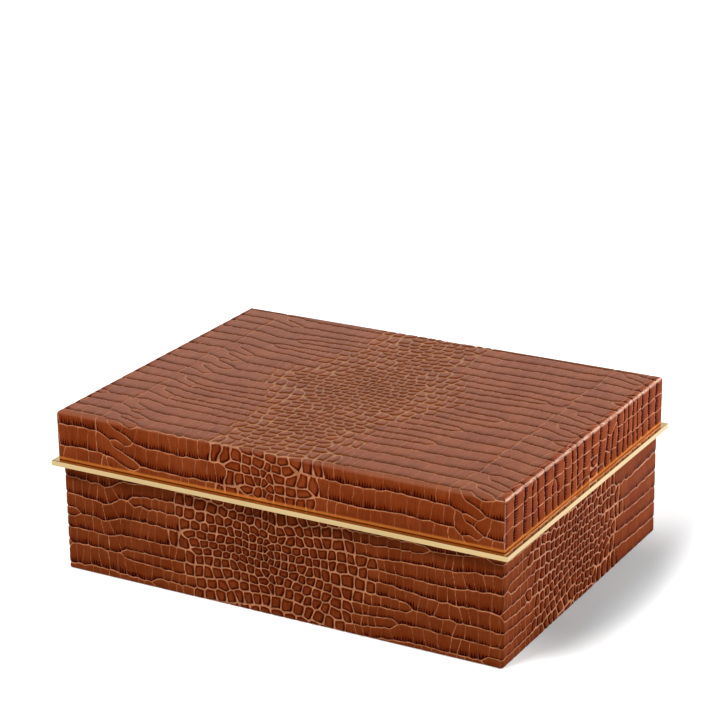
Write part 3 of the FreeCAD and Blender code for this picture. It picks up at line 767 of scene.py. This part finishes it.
def base_profile(top, bottom):
    """Rings from the inner edge of the rim to the inner edge underneath."""
    radius = BASE_HEM_RADIUS
    rings = [Ring(BASE_RIM_WIDTH, top, top + BASE_RIM_WIDTH, 0.0, 1.0)]
    for inset in profile_run(BASE_RIM_WIDTH, radius, GRID_STEP):
        rings.append(Ring(inset, top, top + inset, 0.0, 1.0))
    for angle in HEM_ANGLES:
        outward, upward = math.sin(angle), math.cos(angle)
        z = top - radius * (1 - upward)
        rings.append(Ring(radius * (1 - outward), z, z + radius * upward, outward, upward))
    for z in profile_run(top - radius, bottom + radius, GRID_STEP):
        rings.append(Ring(0.0, z, z, 1.0, 0.0))
    for angle in HEM_ANGLES:
        outward, downward = math.cos(angle), math.sin(angle)
        inset = radius * (1 - outward)
        z = bottom + radius * (1 - downward)
        rings.append(Ring(inset, z, z - inset, outward, -downward))
    for inset in profile_run(radius, BASE_TURN_UNDER, LIP_STEP):
        rings.append(Ring(inset, bottom, bottom - inset, 0.0, -1.0))
    return rings


def base_inside(top, bottom):
    """Rings of the hidden inside, from underneath to the rim."""
    low = bottom + THICKNESS
    high = top - THICKNESS
    return [(BASE_TURN_UNDER, low), (THICKNESS, low), (THICKNESS, high), (BASE_RIM_WIDTH, high)]


class Perimeter:
    """The way round the base: u runs to the right from the middle of the front."""

    def __init__(self, half_x, half_y):
        self.half_x = half_x
        self.half_y = half_y
        straight_x = half_x - CORNER_RADIUS
        straight_y = half_y - CORNER_RADIUS
        arc = 0.5 * math.pi * CORNER_RADIUS
        self.knots = np.cumsum([0, straight_x, arc, 2 * straight_y, arc, straight_x])
        self.length = 2 * self.knots[-1]
        count = 2 * round(self.knots[-1] / GRID_STEP)
        self.u = (np.arange(count) + 0.5) / count * self.length - 0.5 * self.length

    def ring(self, inset, height):
        """Points of a ring, with their outward normals."""
        radius = max(CORNER_RADIUS - inset, LEAST_CORNER_RADIUS)
        corner_x = self.half_x - inset - radius
        corner_y = self.half_y - inset - radius
        parts = []
        for start, stop in zip(self.knots, self.knots[1:]):
            parts.append(np.clip((np.abs(self.u) - start) / (stop - start), 0, 1))
        turn = 0.5 * np.pi * (parts[1] + parts[3])
        normal_x = np.sin(turn)
        normal_y = -np.cos(turn)
        x = corner_x * (parts[0] - parts[4]) + radius * normal_x
        y = corner_y * (2 * parts[2] - 1) + radius * normal_y
        side = np.sign(self.u)
        zero = np.zeros(len(side))
        return np.stack([side * x, y, zero + height], 1), np.stack([side * normal_x, normal_y, zero], 1)


def build_base_leather(leather, material):
    low, high = box_mm("base_leather_wrap")
    bottom, top = low[2], high[2]
    way = Perimeter(high[0], high[1])
    count = len(way.u)
    join_fade = step(0.5 * way.length - np.abs(way.u), 0.0, CORNER_FADE)
    rings = Rings(np.arange(count), count)
    skins = []
    for ring in base_profile(top, bottom):
        if skins:
            rings.add()
        points, out = way.ring(ring.inset, ring.height)
        share = RIM_RELIEF if ring.upward > RIM_UPWARD else float(ring.upward > UNDER_UPWARD)
        skins.append(Skin(
            points=points,
            normal=ring.outward * out + ring.upward * UP,
            along_u=np.cross(UP, out),
            along_v=ring.outward * UP - ring.upward * out,
            sheet=np.column_stack([way.u, np.full(count, ring.length)]),
            fade=join_fade * share))
    skin = joined(skins)
    height, field = leather.at(skin.sheet)
    points = [embossed(skin, height, field.pull)]
    for inside in base_inside(top, bottom):
        points.append(way.ring(*inside)[0])
        rings.add()
    points = np.concatenate(points)
    for hinge in ("hinge_left", "hinge_right"):
        near, far = box_mm(hinge + "_base_leaf")
        let_in = (points[:, 0] > near[0]) & (points[:, 0] < far[0]) & (points[:, 1] > near[1])
        points[let_in, 2] = np.minimum(points[let_in, 2], near[2] - LEAF_SINK)
    faces = np.concatenate([*rings.faces, ring_faces(np.arange(count), rings.last)])
    mesh = new_mesh("base_leather", points, faces)
    add_scale_marks(mesh, skin.sheet, field)
    return new_piece("base_leather", mesh, material, "base", ["base_leather_wrap"])


# Node graphs

class Graph:
    """A node tree under construction. Inputs of its nodes are values or links."""

    def __init__(self, owner):
        owner.use_nodes = True
        self.owner = owner
        self.tree = owner.node_tree
        self.tree.nodes.clear()

    def node(self, kind, inputs=None, **settings):
        made = self.tree.nodes.new("ShaderNode" + kind)
        for name, value in settings.items():
            setattr(made, name, value)
        for name, value in (inputs or {}).items():
            if isinstance(value, bpy.types.NodeSocket):
                self.tree.links.new(value, made.inputs[name])
            else:
                made.inputs[name].default_value = value
        return made

    def math(self, operation, *values, clamp=False):
        inputs = dict(enumerate(values))
        return self.node("Math", inputs, operation=operation, use_clamp=clamp).outputs[0]

    def ramp(self, value, start, end, low=0.0, high=1.0, kind="SMOOTHSTEP"):
        """Goes smoothly from low at start to high at end."""
        inputs = {"Value": value, "From Min": start, "From Max": end, "To Min": low, "To Max": high}
        return self.node("MapRange", inputs, interpolation_type=kind).outputs["Result"]

    def blend(self, share, first, second, kind="MIX"):
        inputs = {0: share, 6: first, 7: second}
        made = self.node("Mix", inputs, data_type="RGBA", blend_type=kind, clamp_factor=True)
        return made.outputs[2]

    def noise(self, vector, scale, detail=2.0, roughness=0.5):
        inputs = {"Vector": vector, "Scale": scale, "Detail": detail, "Roughness": roughness}
        return self.node("TexNoise", inputs).outputs[0]

    def stretch(self, vector, scale):
        return self.node("Mapping", {"Vector": vector, "Scale": scale}).outputs[0]

    def place(self):
        return self.node("TexCoord").outputs["Object"]

    def mark(self, name):
        """The three parts of a mark that the mesh carries."""
        vector = self.node("Attribute", attribute_name=name).outputs["Vector"]
        return self.node("SeparateXYZ", {0: vector}).outputs

    def colour(self, red, green, blue):
        return self.node("CombineColor", {0: red, 1: green, 2: blue}).outputs[0]

    def bump(self, height, strength, distance, **more):
        inputs = {"Height": height, "Strength": strength, "Distance": distance, **more}
        return self.node("Bump", inputs).outputs[0]

    def surface(self, **inputs):
        """Ends a material's graph in one shader and gives the material."""
        inputs = {name.replace("_", " "): value for name, value in inputs.items()}
        shader = self.node("BsdfPrincipled", inputs)
        self.node("OutputMaterial", {"Surface": shader.outputs[0]})
        return self.owner


def new_graph(name):
    return Graph(bpy.data.materials.new(name))


def rgb(red, green, blue):
    """A colour given by its usual 0 to 255 values."""
    parts = []
    for value in (red, green, blue):
        share = value / 255.0
        parts.append(share / 12.92 if share <= 0.04045 else ((share + 0.055) / 1.055) ** 2.4)
    return (*parts, 1.0)


# Leather. Where four numbers describe a ramp, they are from, to and the level at each
TILE_TONES = (rgb(137, 59, 24), rgb(148, 69, 32))
STREAK_SHADES = (0.84, 1.12)
TINT_SHARE = 0.05
# The base's leather is a darker copy of the lid's: painted shade
BASE_PAINTED_SHADE = 0.79

# Dark dye in the tiles and pebbles, with painted shade on their lower sides, along the creases below them
# and round the pebbles' rims
DOWNWARD_DARK = (0.3, -0.9, 0.0, 0.3)
COMB_TURN = 3.6
COMB_SWAY = 9.0
COMB_SHARE = 0.28
COMB_LENGTH = (1.2, -0.6)
COMB_DARK = (0.45, 0.85, 0.0, 0.9)
LINE_DARK = (1.7, 0.6, 0.0, 0.92)
LINE_BELOW = (-0.2, -0.55)
PEBBLE_RING = (2.6, 0.5, 0.03, 0.82)
PEBBLE_FOOT = (0.5, -0.8, 0.75, 1.15)
PEBBLE_SHADE = (0.5, 1.0, 0.85, 1.1)
DARKEST = 0.075
DARK_GREEN = 1.8
DARK_BLUE = 2.4
TOP_DARK = 0.55

# Worn pale creases, weaker on the top as painted shade; painted highlights on the lid's edges, painted glow
# of the brass at its hem and painted sheen tone of its top; gloss
CREASE_PALE = rgb(226, 151, 106)
PALE_ROW = (0.5, 0.12)
PALE_CROSS = (0.42, 0.1)
SIDE_PALE = 0.9
TOP_PALE = 0.54
PAINTED_EDGE_HIGHLIGHT = rgb(212, 160, 136)
EDGE_HIGHLIGHT_SHARE = 0.55
PAINTED_BRASS_GLOW = rgb(240, 138, 60)
BRASS_GLOW_SHARE = 0.8
PAINTED_TOP_SHEEN = (0.96, 1.12, 1.06, 1.0)
PORE_BUMP = (0.35, 0.00012)
PORE_ROUGHNESS = (0.3, 0.7, 0.3, 0.4)
WRINKLE_BUMP = (0.5, 0.00025)
LEATHER_IOR = 1.24
SHEEN_TINT = (1.0, 0.55, 0.3, 1.0)
SIDE_GLOSS = 0.03
TOP_GLOSS = 0.72
CREASE_GLOSS = 0.75


def leather_material(name, depth=1.0):
    """Embossed leather: dark dye and painted shade on each scale's lower side, pale worn creases, and on
    the lid painted highlights, sheen and brass glow.
    """
    g = new_graph(name)
    row_edge, cross_edge, strength = g.mark("scale_edges")
    rise, pebble, tint = g.mark("scale_shape")
    u, v, round_edge = g.mark("sheet")
    flat = g.node("CombineXYZ", {0: u, 1: v}).outputs[0]
    polish, edge_highlight, hem = g.mark("finish")

    def by_polish(plain, polished):
        return g.ramp(polish, 0.0, 1.0, plain, polished, "LINEAR")

    body = g.blend(g.ramp(g.noise(flat, 0.035, 3.0), 0.35, 0.65), *TILE_TONES)
    streaks = g.noise(g.stretch(flat, (0.9, 0.1, 1.0)), 1.0, 3.0, 0.6)
    shades = g.ramp(streaks, 0.25, 0.75, *[depth * share for share in STREAK_SHADES])
    shade = g.math("MULTIPLY_ADD", tint, TINT_SHARE, shades)
    body = g.blend(1.0, body, g.colour(shade, shade, shade), "MULTIPLY")

    # Tiles darken downwards, in a comb of fine streaks that end in a solid line by the crease: dark dye
    # with painted shade on the lower side and in the crease
    downward = g.ramp(rise, *DOWNWARD_DARK)
    sway = g.noise(g.stretch(flat, (0.3, 0.06, 1.0)), 1.0, 2.0)
    comb = g.math("SINE", g.math("MULTIPLY_ADD", sway, COMB_SWAY, g.math("MULTIPLY", u, COMB_TURN)))
    length = g.noise(g.stretch(flat, (0.14, 0.05, 1.0)), 1.0, 2.0)
    reach = g.math("MULTIPLY_ADD", comb, COMB_SHARE, g.math("MULTIPLY_ADD", length, *COMB_LENGTH))
    streaked = g.ramp(g.math("SUBTRACT", reach, rise), *COMB_DARK)
    line = g.math("MULTIPLY", g.ramp(row_edge, *LINE_DARK), g.ramp(rise, *LINE_BELOW))
    tile_dark = g.math("MAXIMUM", downward, g.math("MAXIMUM", streaked, line))

    # Pebbles are dark dye, most of all near the middle of the lens, with painted shade round their rims,
    # most of all round the foot
    pebble_dark = g.math("MULTIPLY", g.ramp(round_edge, *PEBBLE_RING), g.ramp(rise, *PEBBLE_FOOT))
    by_kind = g.ramp(pebble, *PEBBLE_SHADE, "LINEAR")
    pebble_dark = g.math("MULTIPLY", pebble_dark, by_kind, clamp=True)
    is_pebble = g.math("GREATER_THAN", pebble, 0.01)
    dark = g.node("Mix", {0: is_pebble, 2: tile_dark, 3: pebble_dark}).outputs[0]
    # Under the polish the top keeps less of the dark dye and painted shade
    dark = g.math("MULTIPLY", dark, by_polish(1.0, TOP_DARK))

    # The dark dye and painted shade take out green and blue before red, except under the polish
    left = g.math("MULTIPLY_ADD", dark, DARKEST - 1.0, 1.0)
    green = g.math("POWER", left, by_polish(DARK_GREEN, 1.0))
    blue = g.math("POWER", left, by_polish(DARK_BLUE, 1.0))
    body = g.blend(1.0, body, g.colour(left, green, blue), "MULTIPLY")

    # Worn pale creases, painted highlights on the lid's edges and the painted glow of the brass along its
    # hem, then the painted sheen tone of the polished top
    pale_row = g.ramp(row_edge, *PALE_ROW)
    pale_cross = g.math("MULTIPLY", g.ramp(cross_edge, *PALE_CROSS), strength, clamp=True)
    wear = g.ramp(g.noise(flat, 0.14, 3.0), 0.3, 0.7, 0.6, 1.0)
    pale = g.math("MULTIPLY", g.math("MAXIMUM", pale_row, pale_cross), wear)
    # The pale creases are weaker on the polished top, as painted shade in its narrow creases
    pale = g.math("MULTIPLY", pale, by_polish(SIDE_PALE, TOP_PALE))
    body = g.blend(pale, body, CREASE_PALE)
    # Painted highlights on the lid's corners and on its front and back rolls
    body = g.blend(g.math("MULTIPLY", edge_highlight, EDGE_HIGHLIGHT_SHARE), body, PAINTED_EDGE_HIGHLIGHT)
    # Painted glow of light thrown by the brass onto the lid's hem
    body = g.blend(g.math("MULTIPLY", hem, BRASS_GLOW_SHARE), body, PAINTED_BRASS_GLOW)
    # Painted sheen: a tone on the polished top that stands in for the light it reflects
    body = g.blend(polish, body, g.blend(1.0, body, PAINTED_TOP_SHEEN, "MULTIPLY"))
    pores = g.noise(flat, 2.6, 3.0, 0.6)
    wrinkles = g.noise(g.stretch(flat, (1.1, 0.16, 1.0)), 1.0, 3.0, 0.6)
    normal = g.bump(wrinkles, *WRINKLE_BUMP, Normal=g.bump(pores, *PORE_BUMP))
    gloss = by_polish(SIDE_GLOSS, TOP_GLOSS)
    gloss = g.math("MAXIMUM", gloss, g.math("MULTIPLY", pale, CREASE_GLOSS))
    return g.surface(Base_Color=body, Roughness=g.ramp(pores, *PORE_ROUGHNESS), IOR=LEATHER_IOR,
                     Specular_IOR_Level=gloss, Specular_Tint=SHEEN_TINT, Normal=normal)


# Other materials, each between two tones

BRASS_TONES = (rgb(194, 167, 118), rgb(202, 174, 126))
SUEDE_TONES = (rgb(118, 78, 46), rgb(136, 94, 58))
SUEDE_NAP = rgb(160, 118, 80)
FELT_TONES = (rgb(46, 32, 24), rgb(74, 54, 40))
WOOD_TONES = (rgb(196, 160, 112), rgb(160, 120, 76))


def brass_material():
    g = new_graph("polished_brass")
    place = g.place()
    body = g.blend(g.ramp(g.noise(place, 22.0, 3.0), 0.35, 0.65), *BRASS_TONES)
    roughness = g.ramp(g.noise(place, 60.0, 2.0), 0.3, 0.7, 0.1, 0.15)
    return g.surface(Base_Color=body, Metallic=1.0, Roughness=roughness)


def suede_material():
    g = new_graph("suede")
    place = g.place()
    body = g.blend(g.ramp(g.noise(place, 9.0, 3.0), 0.35, 0.65), *SUEDE_TONES)
    nap = g.noise(place, 90.0, 4.0, 0.6)
    body = g.blend(g.ramp(nap, 0.35, 0.7, 0.0, 0.35), body, SUEDE_NAP)
    normal = g.bump(g.noise(place, 1400.0, 2.0), 0.5, 0.0003)
    return g.surface(Base_Color=body, Roughness=0.95, Sheen_Weight=0.35, Sheen_Roughness=0.4, Normal=normal)


def felt_material():
    g = new_graph("felt")
    matted = g.noise(g.place(), 400.0, 4.0, 0.65)
    body = g.blend(g.ramp(matted, 0.3, 0.7), *FELT_TONES)
    return g.surface(Base_Color=body, Roughness=1.0, Sheen_Weight=0.3, Normal=g.bump(matted, 0.8, 0.0004))


def wood_material():
    g = new_graph("board_wood")
    grain = g.noise(g.stretch(g.place(), (6.0, 60.0, 60.0)), 1.0, 5.0, 0.6)
    body = g.blend(g.ramp(grain, 0.3, 0.7), *WOOD_TONES)
    return g.surface(Base_Color=body, Roughness=0.65, Normal=g.bump(grain, 0.3, 0.0003))


# Soft panels. Crown: the share of the thickness at the edge, and how far in the rest is reached

PANEL_STEP = 2.4
EDGE_CROWDING = 0.25
FELT_CROWN = (0.6, 1.5)
LINING_CROWN = (0.55, 4.0)
PAD_CROWN = (0.45, 9.0)


def crowded(places):
    """Places from -1 to 1, drawn towards both ends."""
    return EDGE_CROWDING * np.sin(0.5 * np.pi * places) + (1 - EDGE_CROWDING) * places


def build_panel(name, node, material, body, facing, crown, mitre=0.0):
    """A soft panel: a crowned face on a flat back. Facing: the axis it looks along, and the sign."""
    axis, toward = facing
    low, high = box_mm(node)
    across = [i for i in range(3) if i != axis]
    half = 0.5 * (high - low)[across]
    middle = 0.5 * (low + high)[across]
    thickness = (high - low)[axis]
    counts = [round(2 * h / PANEL_STEP) + 1 for h in half]
    a, b = np.meshgrid(*[crowded(np.linspace(-1, 1, count)) for count in counts])
    edge_share, soft = crown
    edge = np.minimum((1 - np.abs(a)) * half[0], (1 - np.abs(b)) * half[1])
    rise = np.sqrt(np.clip(1 - (1 - np.clip(edge / soft, 0, 1)) ** 2, 0, 1))
    height = thickness * mix(edge_share, 1.0, rise)
    back_level = low[axis] if toward > 0 else high[axis]

    def place(height):
        points = np.zeros((*a.shape, 3))
        points[..., across[0]] = middle[0] + a * (half[0] - mitre * height)
        points[..., across[1]] = middle[1] + b * half[1]
        points[..., axis] = back_level + toward * height
        return points.reshape(-1, 3)
    number = np.arange(a.size).reshape(a.shape)
    rim = grid_rim(number)
    points = np.concatenate([place(height), place(np.zeros_like(height))[rim]])
    foot = np.arange(a.size, len(points))
    quads = np.concatenate([grid_faces(number), ring_faces(foot, rim)])
    cap = foot[::-1]
    if (toward < 0) != (axis == 1):
        quads = quads[:, ::-1]
        cap = foot
    return new_piece(name, new_mesh(name, points, quads, [cap]), material, body, [node])


def build_soft_panels(suede, felt):
    """Felt under the base, padded floor and ceiling, and the cards that line the walls."""
    build_panel("felt_foot", "base_felt", felt, "base", (2, -1), FELT_CROWN)
    floor_pad = build_panel("base_floor", "base_floor_pad", suede, "base", (2, 1), PAD_CROWN)
    ceiling_pad = build_panel("lid_ceiling", "lid_pad", suede, "lid", (2, -1), PAD_CROWN)
    facings = {"front": (1, 1), "back": (1, -1), "left": (0, 1), "right": (0, -1)}
    for body in ("base", "lid"):
        for side, facing in facings.items():
            node = f"{body}_lining_{side}"
            build_panel(f"{body}_{side}_card", node, suede, body, facing, LINING_CROWN, 1.0)


# Camera, floor and light

CAMERA_PLACE = Vector((0.6690, -1.1915, 0.6096))
CAMERA_YAW = math.radians(29.41)
CAMERA_PITCH = math.radians(19.54)
CAMERA_ROLL = math.radians(-0.69)
CAMERA_LENS = 119.86


def build_camera():
    data = bpy.data.cameras.new("camera")
    data.lens = CAMERA_LENS
    camera = add_object("camera", data)
    turn = Matrix.Rotation(CAMERA_YAW, 4, "Z") @ Matrix.Rotation(0.5 * math.pi - CAMERA_PITCH, 4, "X")
    turn = turn @ Matrix.Rotation(CAMERA_ROLL, 4, "Z")
    camera.matrix_world = Matrix.Translation(CAMERA_PLACE) @ turn
    bpy.context.scene.camera = camera


def is_ray(g, *kinds):
    """1 for rays of these kinds."""
    path = g.node("LightPath").outputs
    result = 0.0
    for kind in kinds:
        result = g.math("MAXIMUM", result, path[f"Is {kind} Ray"])
    return result


FLOOR_SIZE = 12.0
FLOOR_PALE = (0.95, 0.95, 0.95, 1.0)
FLOOR_SHADED = (0.76, 0.825, 0.845, 1.0)
FLOOR_BOUNCE = (0.8, 0.8, 0.8, 1.0)
SHADE_PLACE = (0.155, 0.012, 0.0)
SHADE_STRETCH = (22.0, 7.7, 1.0)
SHADE_REACH = (0.4, 1.1)
SHADE_GLOW = (0.0, 0.42)
HORIZON_REACH = (0.3, 1.0)
HORIZON_GLOW = 0.6
WORLD_LEVEL = 0.2
CEILING_REACH = (0.36, 0.56)
CEILING_LEVEL = 0.3


def build_floor():
    half = FLOOR_SIZE / 2 / MM
    points = [(-half, -half, 0), (half, -half, 0), (half, half, 0), (-half, half, 0)]
    mesh = new_mesh("floor", np.array(points, float), np.array([[0, 1, 2, 3]]))
    floor = add_object("floor", mesh)
    g = new_graph("floor")
    shown = is_ray(g, "Camera", "Glossy", "Transmission")
    place = g.place()
    aside = g.node("VectorMath", {0: place, 1: SHADE_PLACE}, operation="SUBTRACT").outputs[0]
    shade = g.node("VectorMath", {0: g.stretch(aside, SHADE_STRETCH)}, operation="LENGTH").outputs["Value"]
    away = g.node("VectorMath", {0: place}, operation="LENGTH").outputs["Value"]
    pale = g.blend(g.ramp(shade, *SHADE_REACH), FLOOR_SHADED, FLOOR_PALE)
    matt = g.node("BsdfDiffuse", {"Color": g.blend(shown, FLOOR_BOUNCE, pale)})
    horizon = g.ramp(away, *HORIZON_REACH, 0.0, HORIZON_GLOW)
    level = g.math("ADD", g.ramp(shade, *SHADE_REACH, *SHADE_GLOW), horizon)
    glow = g.node("Emission", {"Strength": g.math("MULTIPLY", shown, level)})
    both = g.node("AddShader", {0: matt.outputs[0], 1: glow.outputs[0]})

    # From below the floor is clear, so that the underside can be seen
    under = g.node("NewGeometry").outputs["Backfacing"]
    clear = g.node("BsdfTransparent")
    surface = g.node("MixShader", {0: under, 1: both.outputs[0], 2: clear.outputs[0]})
    g.node("OutputMaterial", {"Surface": surface.outputs[0]})
    mesh.materials.append(g.owner)


def build_world():
    world = bpy.data.worlds.new("world")
    bpy.context.scene.world = world
    g = Graph(world)
    height = g.node("SeparateXYZ", {0: g.node("TexCoord").outputs["Generated"]}).outputs["Z"]
    mirrored = g.ramp(height, *CEILING_REACH, 1.0, CEILING_LEVEL)
    plain = g.node("Mix", {0: is_ray(g, "Glossy"), 2: WORLD_LEVEL, 3: mirrored}).outputs[0]
    straight = is_ray(g, "Camera", "Transmission")
    strength = g.node("Mix", {0: straight, 2: plain, 3: 1.0}).outputs[0]
    light = g.node("Background", {"Color": (1.0, 1.0, 1.0, 1.0), "Strength": strength})
    g.node("OutputWorld", {"Surface": light.outputs[0]})


Lamp = namedtuple("Lamp", "place target size power")
KEY = Lamp((-0.32, -0.93, 1.6), (0, 0, 0.05), (0.5, 0.5), 23.0)
FILL = Lamp((0.9, 0.85, 0.5), (0, 0, 0.08), (0.5, 0.5), 14.6)
RIM = Lamp((1.0, 1.55, 0.62), (0, 0, 0.1), (1.3, 0.9), 30.0)


def add_area_light(name, lamp, pieces, state):
    """A light that reaches these pieces alone, or all but these."""
    data = bpy.data.lights.new(name, "AREA")
    data.shape = "RECTANGLE"
    data.size, data.size_y = lamp.size
    data.energy = lamp.power
    light = add_object(name, data)
    light.location = lamp.place
    light.rotation_euler = (Vector(lamp.target) - Vector(lamp.place)).to_track_quat("-Z", "Y").to_euler()
    group = bpy.data.collections.new(name + "_pieces")
    for piece in pieces:
        group.objects.link(piece)
    for member in group.collection_objects:
        member.light_linking.link_state = state
    light.light_linking.receiver_collection = group
    return light


def build_lights(leather, metal):
    """Light from front left and back right, and on the leather's edges. Metal mirrors its surroundings."""
    add_area_light("key", KEY, metal, "EXCLUDE")
    add_area_light("fill", FILL, metal, "EXCLUDE")
    rim = add_area_light("rim", RIM, leather, "INCLUDE")
    rim.visible_diffuse = False


# Whole scene: the first of these words in a node's name gives its material, or else it is board

KINDS = {"leather": "cover_leather", "felt": "felt", "pad": "suede", "lining": "suede",
         "frame": "brass", "hinge": "brass"}
bpy.context.scene.view_settings.view_transform = "Standard"
materials = {
    "cover_leather": leather_material("lid_leather"),
    "brass": brass_material(),
    "suede": suede_material(),
    "felt": felt_material(),
    "board": wood_material(),
}
metal = []
for name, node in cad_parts.items():
    kinds = [kind for word, kind in KINDS.items() if word in name]
    kind = kinds[0] if kinds else "board"
    if kind == "brass":
        metal.append(node)
    node.data.materials.clear()
    node.data.materials.append(materials[kind])

lid_leather = build_lid_leather(Leather(LID_PLATE), materials["cover_leather"])
# The base leather takes the darker copy of the material, a painted shade
base_leather = build_base_leather(Leather(BASE_PLATE), leather_material("base_leather", BASE_PAINTED_SHADE))
build_soft_panels(materials["suede"], materials["felt"])
build_floor()
build_world()
build_lights([lid_leather, base_leather], metal)
build_camera()
